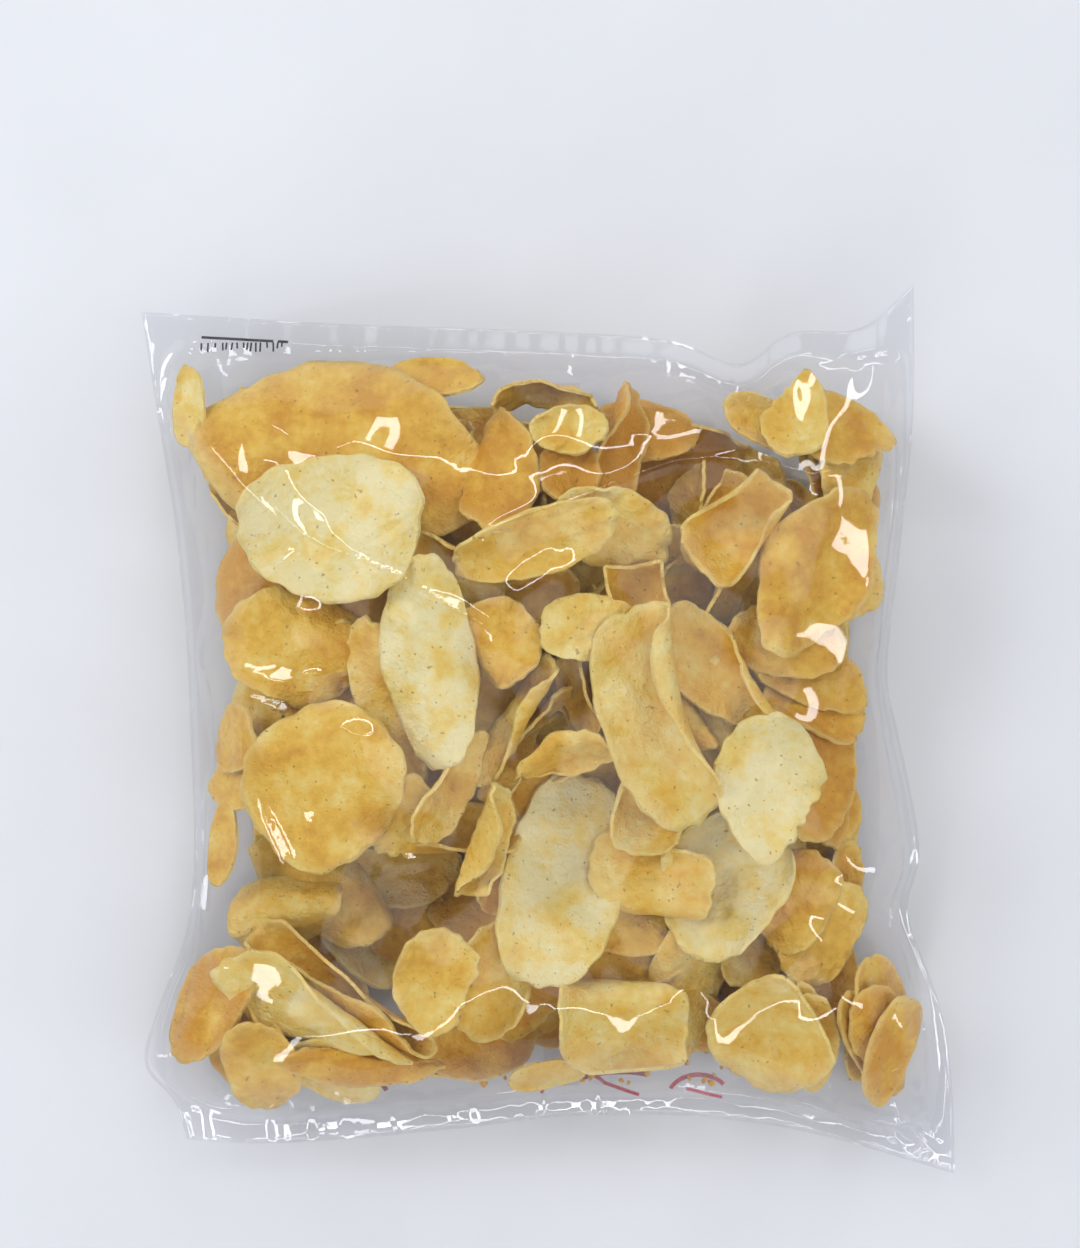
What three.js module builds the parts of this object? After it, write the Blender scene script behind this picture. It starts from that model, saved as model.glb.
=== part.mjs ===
// A bag of potato crisps, lying on its back: a clear film pillow pack, sealed across both ends.
// The pack is shut, so it is one closed solid: the outer shape of the film, sealed ends included.
// Millimetres. +Z up, +X across the bag, +Y from the bottom seal to the top seal.
// The origin is on the table, under the middle of the whole bag.

import * as THREE from "three";
import { mergeVertices } from "three/addons/utils/BufferGeometryUtils.js";

// Driving dimensions.
const BODY_WIDTH = 238; // across the filled body, between the folded sides
const BODY_LENGTH = 272; // from the bottom seal's edge to the top seal's edge
const FILL_HEIGHT = 61; // from the table to the crown of the filled body
const SEAL_DEPTH = 11; // of each sealed end, measured from its edge into the bag
const SIDE_FOLD = 5; // width of the flattened film outside the crisps, left and right
const RIM_THICKNESS = 1; // of the sealed ends and folded sides
const RIM_HEIGHT = 19; // of the seals and side folds above the table

// How the filled body swells away from its rim.
const TOP_SHOULDER = 54; // distance over which the upper film climbs to the crown
const BASE_SHOULDER = 30; // distance over which the lower film comes down to the table
const CROWN_POWER = 3.2; // more makes the crown broader and flatter
const FOOT_POWER = 1.2; // more makes the film leave the rim more softly

// Unevenness: crisps that press against the film, pleats that run in from the seals, and long
// folds that the corners pull across the upper film.
const LUMP_HEIGHT = 2.2;
const LUMP_PITCH = 74;
const PLEAT_HEIGHT = 2;
const PLEAT_PITCH = 31;
const PLEAT_REACH = 34;
const FOLD_HEIGHT = 3;
const FOLD_WIDTH = 7;

// Cells across and along the film, for each of its two faces.
const COLUMNS = 40;
const ROWS = 44;

const HALF_WIDTH = BODY_WIDTH / 2;
const HALF_LENGTH = BODY_LENGTH / 2;

// The four corners stand out from the body: film that no crisps fill.
const CORNER = {
  topLeft: new THREE.Vector3(-HALF_WIDTH - 18.6, HALF_LENGTH + 6.5, RIM_HEIGHT - 4),
  topRight: new THREE.Vector3(HALF_WIDTH + 1, HALF_LENGTH + 13.5, RIM_HEIGHT + 15),
  bottomLeft: new THREE.Vector3(-HALF_WIDTH - 4, -HALF_LENGTH - 1, RIM_HEIGHT - 8),
  bottomRight: new THREE.Vector3(HALF_WIDTH + 18.6, -HALF_LENGTH - 13.5, RIM_HEIGHT - 12),
};

// A rim edge from one corner to another. Each knot is [share of the way, offset outwards, offset up].
function rimEdge(from, to, outward, knots) {
  const points = knots.map(([share, out, up]) =>
    new THREE.Vector3()
      .lerpVectors(from, to, share)
      .addScaledVector(outward, out)
      .add(new THREE.Vector3(0, 0, up)),
  );
  return new THREE.CatmullRomCurve3([from, ...points, to], false, "centripetal");
}

const OUT = {
  up: new THREE.Vector3(0, 1, 0),
  down: new THREE.Vector3(0, -1, 0),
  left: new THREE.Vector3(-1, 0, 0),
  right: new THREE.Vector3(1, 0, 0),
};

// The top seal runs nearly straight, dips at a crease near its right end and rises to a raised ear.
const topEdge = rimEdge(CORNER.topLeft, CORNER.topRight, OUT.up, [
  [0.25, -6.6, 4],
  [0.55, -12.5, 6],
  [0.7, -17, 5],
  [0.78, -25.5, 3],
  [0.84, -14.5, 1],
  [0.93, -14.8, 4],
]);

// The bottom seal bows in at the middle and runs out to a long loose corner.
const bottomEdge = rimEdge(CORNER.bottomLeft, CORNER.bottomRight, OUT.down, [
  [0.1, 0.4, 0],
  [0.35, -8.5, 5],
  [0.5, -15, 7],
  [0.68, -16.5, 7],
  [0.82, -12, 4],
]);

// The left fold has a small pointed ear above the bottom seal.
const leftEdge = rimEdge(CORNER.bottomLeft, CORNER.topLeft, OUT.left, [
  [0.05, 2.5, 4],
  [0.09, 12.5, 4],
  [0.16, 6.5, 5],
  [0.27, -6, 7],
  [0.5, -10, 8],
  [0.72, -9, 8],
  [0.88, -4, 5],
]);

// The right fold is pinched a little above the middle and opens towards the loose corner.
const rightEdge = rimEdge(CORNER.bottomRight, CORNER.topRight, OUT.right, [
  [0.1, 0, 3],
  [0.2, -3.5, 7],
  [0.31, -13.5, 11],
  [0.36, -8.5, 12],
  [0.5, -13, 9],
  [0.56, -16, 8],
  [0.7, -9.5, 5],
  [0.86, -2, 0],
]);

// The sheet that the two films leave when nothing fills them: a patch between the four edges.
function rimSheet(u, v) {
  const left = leftEdge.getPointAt(v);
  const right = rightEdge.getPointAt(v);
  const bottom = bottomEdge.getPointAt(u);
  const top = topEdge.getPointAt(u);
  const across = new THREE.Vector3().lerpVectors(left, right, u);
  const along = new THREE.Vector3().lerpVectors(bottom, top, v);
  const low = new THREE.Vector3().lerpVectors(CORNER.bottomLeft, CORNER.bottomRight, u);
  const high = new THREE.Vector3().lerpVectors(CORNER.topLeft, CORNER.topRight, u);
  return across.add(along).sub(low.lerp(high, v));
}

// 0 on the rim and 1 past the shoulders, with a round climb between. The two climbs multiply, so
// that the corners of the film stay nearly empty and flat.
function swell({ fromSide, fromSeal }, shoulder) {
  const climb = (inset) => 1 - (1 - THREE.MathUtils.clamp(inset / shoulder, 0, 1)) ** CROWN_POWER;
  return (climb(fromSide) * climb(fromSeal)) ** FOOT_POWER;
}

// How far the film at (u, v) is into the filled body, from the nearer side and the nearer seal.
function depthInto(u, v) {
  return {
    fromSide: Math.min(u, 1 - u) * BODY_WIDTH - SIDE_FOLD,
    fromSeal: Math.min(v, 1 - v) * BODY_LENGTH - SEAL_DEPTH,
  };
}

function lumps(x, y) {
  const turn = (2 * Math.PI) / LUMP_PITCH;
  const broad = Math.sin(turn * (x + 0.45 * y)) * Math.sin(turn * (y - 0.3 * x) + 1.1);
  const fine = Math.sin(2.3 * turn * x + 0.7) * Math.sin(1.9 * turn * y + 2.4);
  return LUMP_HEIGHT * (broad + 0.5 * fine);
}

// Pleats are deepest where the seal ends and the swelling begins.
function pleats(x, fromSeal) {
  const fade = Math.exp(-(((fromSeal - PLEAT_REACH / 2) / (PLEAT_REACH / 2)) ** 2));
  return PLEAT_HEIGHT * fade * Math.cos((2 * Math.PI * x) / PLEAT_PITCH);
}

// Each fold is a straight ridge between two places, [across, along] as shares of the half sizes.
const FOLDS = [
  { from: [-0.98, 0.82], to: [-0.62, 0.44] }, // top left corner, down into the body
  { from: [-0.62, 0.44], to: [-0.98, 0.1] }, // and back out to the left fold
  { from: [-0.12, 0.42], to: [0.55, 0.66] }, // across the upper right of the body
  { from: [0.55, 0.66], to: [0.94, 0.62] }, // and on to the right fold
  { from: [-0.92, -0.28], to: [-0.98, -0.72] }, // beside the lower left crisps
  { from: [0.62, -0.8], to: [0.98, -0.98] }, // towards the loose bottom right corner
];

function folds(x, y) {
  const here = new THREE.Vector3(x, y, 0);
  return FOLDS.reduce((height, { from, to }) => {
    const ridge = new THREE.Line3(
      new THREE.Vector3(from[0] * HALF_WIDTH, from[1] * HALF_LENGTH, 0),
      new THREE.Vector3(to[0] * HALF_WIDTH, to[1] * HALF_LENGTH, 0),
    );
    const nearest = ridge.closestPointToPoint(here, true, new THREE.Vector3());
    return Math.max(height, FOLD_HEIGHT * Math.exp(-((nearest.distanceTo(here) / FOLD_WIDTH) ** 2)));
  }, 0);
}

function upperFilm(u, v) {
  const point = rimSheet(u, v);
  const depth = depthInto(u, v);
  const full = swell(depth, TOP_SHOULDER);
  const uneven = lumps(point.x, point.y) + pleats(point.x, depth.fromSeal) + folds(point.x, point.y);
  point.z += full * (FILL_HEIGHT - LUMP_HEIGHT + uneven - point.z) + RIM_THICKNESS / 2;
  return point;
}

function lowerFilm(u, v) {
  const point = rimSheet(u, v);
  const full = swell(depthInto(u, v), BASE_SHOULDER);
  point.z = (1 - full) * (point.z - RIM_THICKNESS / 2);
  return point;
}

// A box with one cell of thickness gives both films and the rim wall; each corner point then
// moves to its place on the upper or the lower film.
function bagGeometry() {
  const box = new THREE.BoxGeometry(1, 1, 1, COLUMNS, ROWS, 1);
  box.deleteAttribute("normal");
  box.deleteAttribute("uv");
  const film = mergeVertices(box);
  const corners = film.getAttribute("position");
  for (let i = 0; i < corners.count; i++) {
    const u = corners.getX(i) + 0.5;
    const v = corners.getY(i) + 0.5;
    const point = corners.getZ(i) > 0 ? upperFilm(u, v) : lowerFilm(u, v);
    corners.setXYZ(i, point.x, point.y, point.z);
  }
  film.computeVertexNormals();
  return film;
}

// Moves the finished shape so that the origin is under the middle of its box, on the table.
function standOnOrigin(geometry) {
  geometry.computeBoundingBox();
  const middle = geometry.boundingBox.getCenter(new THREE.Vector3());
  return geometry.translate(-middle.x, -middle.y, -geometry.boundingBox.min.z);
}

const clearFilmOverCrisps = new THREE.MeshStandardMaterial({
  color: 0xcba85b,
  roughness: 0.25,
  metalness: 0,
});

const bag = new THREE.Mesh(standOnOrigin(bagGeometry()), clearFilmOverCrisps);
bag.name = "crisp_bag";

const part = new THREE.Group();
part.add(bag);

export default part;
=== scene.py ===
# %% [markdown]
# # A clear bag of potato crisps
#
# The real thing is a tube of clear film, sealed across both ends and filled with about a hundred
# thin slices of fried potato. The CAD model holds it as one closed solid. Here that solid becomes
# what the eye meets: the film, the crisps under it, and a little print.
#
# The order follows the real pack. First the film, because it says how much room the crisps have.
# Then the crisps, from the ones that press against the upper film down to the ones underneath.
# Last the print, the finishes, the light and the camera.

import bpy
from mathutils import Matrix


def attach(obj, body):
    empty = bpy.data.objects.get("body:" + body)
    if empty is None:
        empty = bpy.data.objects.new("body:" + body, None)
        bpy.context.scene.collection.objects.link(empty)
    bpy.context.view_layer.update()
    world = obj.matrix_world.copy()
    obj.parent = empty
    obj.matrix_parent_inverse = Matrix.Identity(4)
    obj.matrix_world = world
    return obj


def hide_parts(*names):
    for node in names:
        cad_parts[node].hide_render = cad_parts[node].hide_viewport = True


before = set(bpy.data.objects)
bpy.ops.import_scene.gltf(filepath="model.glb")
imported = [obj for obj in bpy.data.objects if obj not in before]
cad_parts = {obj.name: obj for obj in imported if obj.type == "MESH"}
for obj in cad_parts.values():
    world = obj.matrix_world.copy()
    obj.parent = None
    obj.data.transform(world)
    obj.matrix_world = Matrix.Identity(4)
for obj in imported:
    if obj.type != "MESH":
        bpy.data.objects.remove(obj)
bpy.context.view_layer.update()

# %% [markdown]
# ## Tools
#
# Small helpers for colours, shader nodes, pieces and meshes. Lengths are written in millimetres and
# turned into the frame's metres where a mesh or a shader takes them.

# %% Tools and units
import math
import random
from typing import NamedTuple

import bmesh
import bpy
import numpy as np
from mathutils import Euler, Matrix, Vector, noise
from mathutils.bvhtree import BVHTree
from mathutils.geometry import delaunay_2d_cdt

MM = 0.001  # the frame is in metres, and a bag of crisps is easier to think about in millimetres
BAG = "crisp_bag"


def linear(hex_colour):
    """An sRGB hex colour as the linear red, green, blue and alpha that shaders take."""
    parts = [int(hex_colour[i : i + 2], 16) / 255 for i in (1, 3, 5)]
    return tuple(c / 12.92 if c <= 0.04045 else ((c + 0.055) / 1.055) ** 2.4 for c in parts) + (1.0,)


def add(tree, kind, settings=None, inputs=None, stops=()):
    """Adds a node. A setting is a property of the node; an input is a number, a colour or a link.

    Stops are the places and colours of a colour ramp."""
    node = tree.nodes.new(kind)
    for name, value in (settings or {}).items():
        setattr(node, name, value)
    for name, value in (inputs or {}).items():
        if isinstance(value, bpy.types.NodeSocket):
            tree.links.new(value, node.inputs[name])
        else:
            node.inputs[name].default_value = value
    for number, (place, colour) in enumerate(stops):
        known = number < len(node.color_ramp.elements)
        stop = node.color_ramp.elements[number] if known else node.color_ramp.elements.new(place)
        stop.position = place
        stop.color = linear(colour) if isinstance(colour, str) else (colour,) * 3 + (1.0,)
    return node


def new_material(name):
    """An empty node material and its output node."""
    material = bpy.data.materials.new(name)
    material.use_nodes = True
    material.node_tree.nodes.clear()
    return material, add(material.node_tree, "ShaderNodeOutputMaterial")


def new_piece(name, mesh, *materials):
    """An object at the origin that holds this mesh and these materials."""
    piece = bpy.data.objects.new(name, mesh)
    bpy.context.scene.collection.objects.link(piece)
    for material in materials:
        mesh.materials.append(material)
    return piece


def mesh_from(bm, name):
    """Turns a bmesh into a mesh and frees it."""
    mesh = bpy.data.meshes.new(name)
    bm.to_mesh(mesh)
    bm.free()
    return mesh


def places_of(mesh):
    """The vertices of a mesh as an array in millimetres."""
    flat = np.empty(len(mesh.vertices) * 3, np.float32)
    mesh.vertices.foreach_get("co", flat)
    return flat.reshape(-1, 3).astype(float) / MM


def put_places(mesh, places):
    """Moves the vertices of a mesh to places in millimetres."""
    mesh.vertices.foreach_set("co", (places * MM).astype(np.float32).ravel())
    mesh.update()


# %% [markdown]
# ## The film
#
# The bag is made on a machine that wraps one sheet of clear polypropylene, 40 thousandths of a
# millimetre thick, into a tube, seals it down the back and crimps both ends. Nothing on it is flat:
# the crisps push it out from inside, the seals gather it, and the empty corners pull long folds.
#
# It could be simulated as cloth under pressure. But a sealed film hardly stretches, and the folds
# that catch the light lie where the corners pull, so they are easier to place than to wait for.
# The skin therefore starts from the CAD solid, which already has the right outline and swell. Its
# triangles are paired back into quads and smoothed, and then the folds and creases are added.

# %% Make one smooth skin from the CAD solid
SMOOTHING = 2  # each level halves the cells, from 6 mm down to 1.5 mm


def quads_from(node):
    """A copy of a CAD node with its loose triangles merged and paired into quads."""
    bm = bmesh.new()
    bm.from_mesh(node.data)
    bmesh.ops.remove_doubles(bm, verts=bm.verts, dist=0.01 * MM)
    bmesh.ops.join_triangles(
        bm,
        faces=bm.faces,
        angle_face_threshold=math.radians(60),
        angle_shape_threshold=math.radians(60),
    )
    return bm


def sharpen_rim(bm):
    """Marks the sharp edges round the seals, so that smoothing keeps the bag's outline."""
    sharp = bm.edges.layers.float.new("crease_edge")
    for edge in bm.edges:
        if edge.calc_face_angle(0) > math.radians(55):
            edge[sharp] = 1.0


def smoothed(bm, name):
    """The bmesh after a Subdivision Surface modifier, as a plain mesh."""
    rough = new_piece(name + "_rough", mesh_from(bm, name + "_rough"))
    subdivide = rough.modifiers.new("smooth", "SUBSURF")
    subdivide.levels = subdivide.render_levels = SMOOTHING
    seen = rough.evaluated_get(bpy.context.evaluated_depsgraph_get())
    mesh = bpy.data.meshes.new_from_object(seen)
    mesh.name = name
    mesh.polygons.foreach_set("use_smooth", [True] * len(mesh.polygons))
    bpy.data.objects.remove(rough)
    return mesh


film_bm = quads_from(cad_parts[BAG])
print("film before smoothing:", len(film_bm.faces), "faces, of them triangles:",
      sum(len(f.verts) == 3 for f in film_bm.faces))
sharpen_rim(film_bm)
film_mesh = smoothed(film_bm, "film")
print("film after smoothing:", len(film_mesh.vertices), "vertices")

# %% [markdown]
# ## Measure the skin
#
# Each wrinkle has to know where it is: on the upper or the lower sheet, how far from the seals and
# how far from the sides. The gap between the two sheets says that best. It is nothing in the seals
# and grows to the full height of the bag, so a ray is sent from each point to the other sheet.

# %% Find each point's sheet, gap and place
UP = Vector((0, 0, 1))


def tree_of(mesh):
    """A search tree of a mesh, which finds where a ray meets it."""
    return BVHTree.FromPolygons(
        [v.co for v in mesh.vertices],
        [tuple(p.vertices) for p in mesh.polygons],
    )


def sheet_and_gap(mesh):
    """For each vertex: 1 on the upper sheet or -1 on the lower, and the distance to the other sheet."""
    tree = tree_of(mesh)
    side = np.empty(len(mesh.vertices))
    gap = np.empty(len(mesh.vertices))
    for i, vertex in enumerate(mesh.vertices):
        above = tree.ray_cast(vertex.co + 0.05 * MM * UP, UP)
        side[i] = -1 if above[0] else 1
        other = above if above[0] else tree.ray_cast(vertex.co - 0.05 * MM * UP, -UP)
        gap[i] = (other[3] or 0) / MM
    return side, gap


side, gap = sheet_and_gap(film_mesh)
skin = places_of(film_mesh)
upper = side > 0
print("upper sheet:", int(upper.sum()), "vertices; widest gap", round(gap.max(), 1), "mm")

# %% [markdown]
# ## Creases and wrinkles
#
# A crease is a straight ridge with a sharp crest: stiff film can't curve two ways at once, so it
# stays flat between narrow folds. Each crest is a line of a few points, and the skin rises towards
# it as the distance falls. Near the seals the film is gathered into many small ridges that run
# away from the seal. Everything else is crumpled a little, and crumpled film is not wavy: it is flat
# triangles that meet at sharp folds. So random points at random heights are joined into triangles,
# and the skin follows that faceted sheet.

# %% Fold the film
def smooth_step(low, high, x):
    """0 up to low and 1 from high on, with a soft rise between."""
    t = np.clip((x - low) / (high - low), 0, 1)
    return t * t * (3 - 2 * t)


def distance_to_path(points, path):
    """How far each point is from a line of straight stretches, seen from above, in mm."""
    nearest = np.full(len(points), np.inf)
    for start, end in zip(path[:-1], path[1:]):
        start, run = np.array(start, float), np.array(end, float) - np.array(start, float)
        share = np.clip(((points[:, :2] - start) @ run) / (run @ run), 0, 1)
        nearest = np.minimum(nearest, np.hypot(*(points[:, :2] - start - share[:, None] * run).T))
    return nearest


def facets(points, pitch, seed):
    """A crumpled sheet: flat triangles about pitch mm across between sharp folds, from -1 to 1 high."""
    rng = random.Random(seed)
    low, high = points[:, :2].min(0) - 2 * pitch, points[:, :2].max(0) + 2 * pitch
    corners = [(low[0], low[1]), (high[0], low[1]), (high[0], high[1]), (low[0], high[1])]
    count = int(np.prod((high - low) / pitch))
    corners += [(rng.uniform(low[0], high[0]), rng.uniform(low[1], high[1])) for _ in range(count)]
    spots, _, faces, *_ = delaunay_2d_cdt([Vector(c) for c in corners], [], [], 0, 1e-6)
    tree = BVHTree.FromPolygons([(x, y, rng.uniform(-1, 1)) for x, y in spots], faces)
    return np.array([tree.ray_cast(Vector((x, y, 9)), -UP)[0].z for x, y in points[:, :2]])


def gathers(points, pitch, seed):
    """Sharp crests that run up and down the bag, as film is gathered by a seal: 1 on a crest."""
    drawn_out = points[:, :2] * (1 / pitch, 1 / (5 * pitch))
    return 1 - 2 * np.abs(np.array([noise.noise((x + seed, y - seed, seed)) for x, y in drawn_out]))


class Crease(NamedTuple):
    path: list  # points from above, in mm
    height: float
    width: float  # how fast the ridge falls away to its sides


CREASES = [
    Crease([(-124, 112), (-100, 84), (-78, 64)], 3.6, 5),  # from the date's corner into the body
    Crease([(-78, 64), (-48, 51), (-22, 36)], 2.0, 4),
    Crease([(-78, 64), (-100, 40), (-112, 27)], 2.4, 4),
    Crease([(-22, 66), (8, 77), (40, 89), (64, 92)], 3.0, 5),  # across the upper right
    Crease([(64, 92), (84, 84), (104, 92)], 2.6, 5),
    Crease([(104, 98), (103, 60), (106, 30)], 2.2, 4),
    Crease([(-112, 27), (-88, 18), (-64, 22)], 2.2, 5),  # the bright knot on the left
    Crease([(-100, 14), (-78, 6), (-60, 0)], 2.0, 4),
    Crease([(-112, -24), (-114, -60), (-108, -76)], 2.4, 4),  # upright, by the lower left crisps
    Crease([(-108, -76), (-120, -100)], 2.0, 4),
    Crease([(104, -66), (116, -98), (132, -140)], 2.4, 5),  # out to the loose corner
    Crease([(92, -96), (112, -118), (128, -140)], 2.0, 4),
    Crease([(78, -108), (100, -128), (120, -141)], 1.8, 4),
    Crease([(106, 30), (108, -10), (104, -60)], 1.6, 4),
]
LOOSE_CORNER = (136, -149)  # the bottom right corner, where no crisps fill the film


def corner_pull(points, corner, count, seed):
    """Sharp crests that fan out from a corner: 1 on a crest, fading after 70 mm."""
    across, along = (points[:, :2] - corner).T
    reach = np.hypot(across, along)
    angle = np.arctan2(along, across) * count
    fan = 1 - 2 * np.abs(np.array([noise.noise((a + seed, r / 60, seed)) for a, r in zip(angle, reach)]))
    return fan * smooth_step(2, 16, reach) * (1 - smooth_step(30, 75, reach))


def fold_film(points, side, gap):
    """How far each point of the skin moves outwards, in mm."""
    upper = side > 0
    inside = smooth_step(1.0, 14, gap)  # 0 in the seals, 1 once the film has left them
    near_seal = np.exp(-(((gap - 14) / 18) ** 2))
    crumple = 1.6 * facets(points, 30, seed=3) + 0.45 * facets(points, 12, seed=8)
    ridge, near = np.zeros(len(points)), np.zeros(len(points))
    for crease in CREASES:
        away = distance_to_path(points, crease.path)
        ridge = np.maximum(ridge, crease.height * np.exp(-away / crease.width))
        near = np.maximum(near, np.exp(-((away / (2.2 * crease.width)) ** 2)))
    rise = crumple * (1 - near) * inside
    rise += 0.3 * facets(points, 6, seed=5) * near_seal * inside
    pull = gathers(points, 10, seed=1.3) + 0.6 * gathers(points, 5, seed=5.2)
    rise += 0.9 * pull * near_seal * inside
    rise += np.where(upper, ridge * smooth_step(0.5, 6, gap), 0)
    return np.where(upper, rise, 0.35 * rise)


def flutter(points, gap):
    """How far both sheets of a seal move up or down together, in mm."""
    loose = 1 - smooth_step(2.0, 12, gap)
    crimp = 0.5 * facets(points, 13, seed=21) + 0.45 * gathers(points, 6, seed=4.1)
    return loose * (crimp + 1.5 * corner_pull(points, LOOSE_CORNER, 9, seed=2.6))


normals = np.empty(len(film_mesh.vertices) * 3, np.float32)
film_mesh.vertices.foreach_get("normal", normals)
normals = normals.reshape(-1, 3)
rise = fold_film(skin, side, gap)
folded = skin + normals * rise[:, None]

SEAL_GAP = 0.3  # the CAD rim is 1 mm thick so that it prints; two films lie almost together
spare = np.clip((np.minimum(gap, 2.2) - SEAL_GAP) / 2, 0, None) * (1 - smooth_step(1.2, 4, gap))
folded[:, 2] += flutter(skin, gap) - side * spare
folded[:, 2] = np.maximum(folded[:, 2], 0.05)
put_places(film_mesh, folded)
print("folds move the film by", round(rise.min(), 2), "to", round(rise.max(), 2), "mm")

# %% [markdown]
# ## The room inside
#
# Crisps may not poke through the film. So the inside of the bag is sounded with rays on a fine
# grid, which gives two height maps: a ceiling under the upper film and a floor over the lower one.

# %% Sound the inside of the bag
CELL = 1.5  # mm between soundings
THICKNESS = 1.1  # mm, of one crisp
CLEAR = 0.3  # mm kept between a crisp and the film or another crisp
NO_ROOM = (-60.0, 120.0)  # ceiling and floor outside the bag, where nothing fits


def sound_inside(mesh, margin=10):
    """Height maps of the upper and lower film over a grid, with the grid's corner and steps, in mm."""
    tree = tree_of(mesh)
    places = places_of(mesh)
    low = places.min(0)[:2] - margin
    steps = np.ceil((places.max(0)[:2] + margin - low) / CELL).astype(int)
    ceiling = np.full(steps, NO_ROOM[0])
    floor = np.full(steps, NO_ROOM[1])
    for i in range(steps[0]):
        for j in range(steps[1]):
            x, y = (low + (np.array((i, j)) + 0.5) * CELL) * MM
            top = tree.ray_cast(Vector((x, y, 1)), -UP)
            if top[0]:
                bottom = tree.ray_cast(Vector((x, y, -1)), UP)
                ceiling[i, j] = top[0].z / MM
                floor[i, j] = bottom[0].z / MM
    return ceiling, floor, low


film_above, film_below, grid_corner = sound_inside(film_mesh)
HALF_AND_CLEAR = THICKNESS / 2 + CLEAR
film_above = film_above - HALF_AND_CLEAR
film_below = film_below + HALF_AND_CLEAR
ceiling, floor_map = film_above.copy(), film_below.copy()
room = np.clip(ceiling - floor_map, 0, None)
print("room for crisps:", round(room.sum() * CELL * CELL / 1e6, 2), "litres")

# %% [markdown]
# ## One crisp
#
# A crisp is a slice of potato 1.1 mm thick. In hot oil its edge stiffens first while the middle
# still shrinks, so the slice buckles: it rolls into a trough, dishes, ripples along its rim, and
# steam raises blisters. Some break, and a broken crisp has one ragged edge.
#
# Each crisp starts as a flat grid that is drawn out into a disc, because a grid has no pole in its
# middle and its cells stay even. The disc gets a wavering outline, is bent, rippled and blistered
# by moving its points, and bmesh's solidify then gives the sheet its thickness.

# %% Shape a slice of potato
CURL = 2.3  # times the slopes given below, because frying curls a slice hard
STRETCH = 1.14  # times the sizes given below, because a curled slice spans less than it measures
FINE_CELLS = 26  # across a crisp that shows
ROUGH_CELLS = 13  # across a crisp that lies underneath


def disc_from_grid(bm):
    """Draws a square grid from -1 to 1 out into a round disc, and returns its points."""
    square = np.array([v.co[:2] for v in bm.verts])
    u, v = square[:, 0], square[:, 1]
    return np.column_stack((u * np.sqrt(1 - v * v / 2), v * np.sqrt(1 - u * u / 2)))


def outline_reach(angle, rng, cut):
    """How far the rim stands out at each angle. A cut is a break across the disc: (direction, depth)."""
    lobes = [(n, rng.uniform(0, 2 * math.pi), rng.uniform(0.4, 1)) for n in (2, 3, 4, 6)]
    reach = 1 + sum(0.085 / n**0.6 * size * np.cos(n * angle + turn) for n, turn, size in lobes)
    reach += 0.012 * np.cos(13 * angle + lobes[2][1]) + 0.01 * np.cos(19 * angle + lobes[3][1])
    if cut:
        facing = np.cos(angle - math.radians(cut[0]))
        ragged = 1 + 0.05 * np.cos(11 * angle + lobes[0][1]) + 0.04 * np.cos(17 * angle + lobes[1][1])
        reach = np.minimum(reach, cut[1] * ragged / np.maximum(facing, 0.05))
    return reach


BENDS = {  # how the slope grows across a crisp, from -1 at one edge to 1 at the other
    "even": lambda t: t,
    "creased": lambda t: np.tanh(3 * t),
    "one side": lambda t: np.clip(t + 0.25, 0, None) ** 1.4,
    "wave": lambda t: np.cos(2.6 * t) - 1,
}


def rolled(across, half, slope, how="even"):
    """A sheet bent across its width: where its points move to, sideways and up.

    Slope is in degrees at the edges and may differ from point to point. Each point is reached by
    walking from the middle in small steps, each one turned by the slope so far."""
    steps = np.linspace(0, 1, 25)[None, :] * (across / half)[:, None]
    angle = np.radians(np.asarray(slope).reshape(-1, 1)) * BENDS[how](steps)
    step = across / (steps.shape[1] - 1)
    middle = (np.cos(angle[:, 1:]) + np.cos(angle[:, :-1])) / 2
    rise = (np.sin(angle[:, 1:]) + np.sin(angle[:, :-1])) / 2
    return middle.sum(1) * step, rise.sum(1) * step


def bumps_on(x, y, size, rng):
    """Wrinkles, pimples and a few blisters: how far each spot stands out, in mm."""
    seed = rng.uniform(0, 500)
    wrinkle = np.array([noise.noise((a / 10 + seed, b / 10, seed)) for a, b in zip(x, y)])
    pimple = np.array([noise.noise((a / 3.2, b / 3.2 + seed, seed)) for a, b in zip(x, y)])
    bumps = 1.2 * wrinkle + 0.8 * pimple
    for _ in range(rng.randint(2, 6)):
        spot = np.array((rng.uniform(-0.7, 0.7) * size[0] / 2, rng.uniform(-0.7, 0.7) * size[1] / 2))
        spread = rng.uniform(1.6, 3.4)
        away = np.hypot(x - spot[0], y - spot[1])
        bumps = bumps + rng.choice((-1, 1)) * rng.uniform(0.5, 1.2) * np.exp(-((away / spread) ** 2))
    return bumps, wrinkle


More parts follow.
